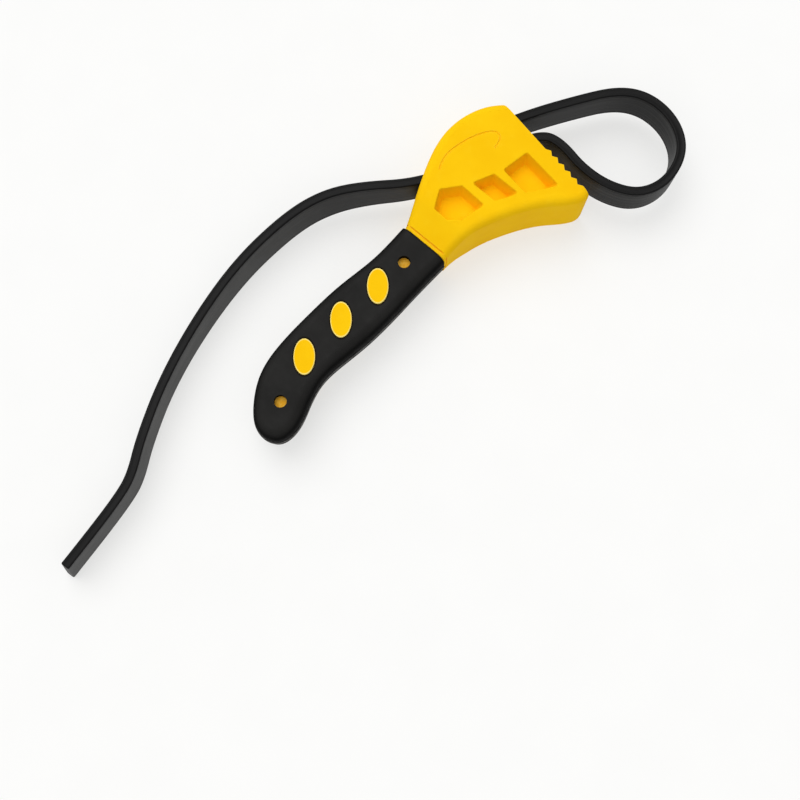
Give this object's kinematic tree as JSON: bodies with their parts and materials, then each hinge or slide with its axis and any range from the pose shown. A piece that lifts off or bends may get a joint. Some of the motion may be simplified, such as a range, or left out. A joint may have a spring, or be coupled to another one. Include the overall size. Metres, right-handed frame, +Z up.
{
  "type": "strap wrench",
  "caption": "Rubber strap wrench for oil filters: a fan-shaped toothed head on a curved gripped handle, with a strap whose loop tightens as the tail is pulled through.",
  "frame": {"origin": "on the flat lower face of the head, under its middle", "axes": "+X along the handle towards the head, +Z up out of the face that shows, +Y to the side on which the strap's tail leaves the head"},
  "size_m": [0.3933, 0.1483, 0.038],
  "materials": {
    "head_plastic": "moulded, satin",
    "grip_rubber": "soft, fine matte texture",
    "strap_rubber": "smooth with faint lengthwise lines"
  },
  "bodies": {
    "tool": {"head_and_core": "head_plastic", "grip_sleeve": "grip_rubber", "strap_fixed_end": "strap_rubber", "strap_loop": "strap_rubber"},
    "strap": {"strap_channel_run": "strap_rubber", "strap_tail": "strap_rubber"}
  },
  "joints": [
    {"name": "strap_feed", "type": "slide", "parent": "tool", "child": "strap", "axis": [-0.8944, 0.4472, 0], "range_m": [0, 0.03], "deforming": ["strap_loop"]}
  ]
}
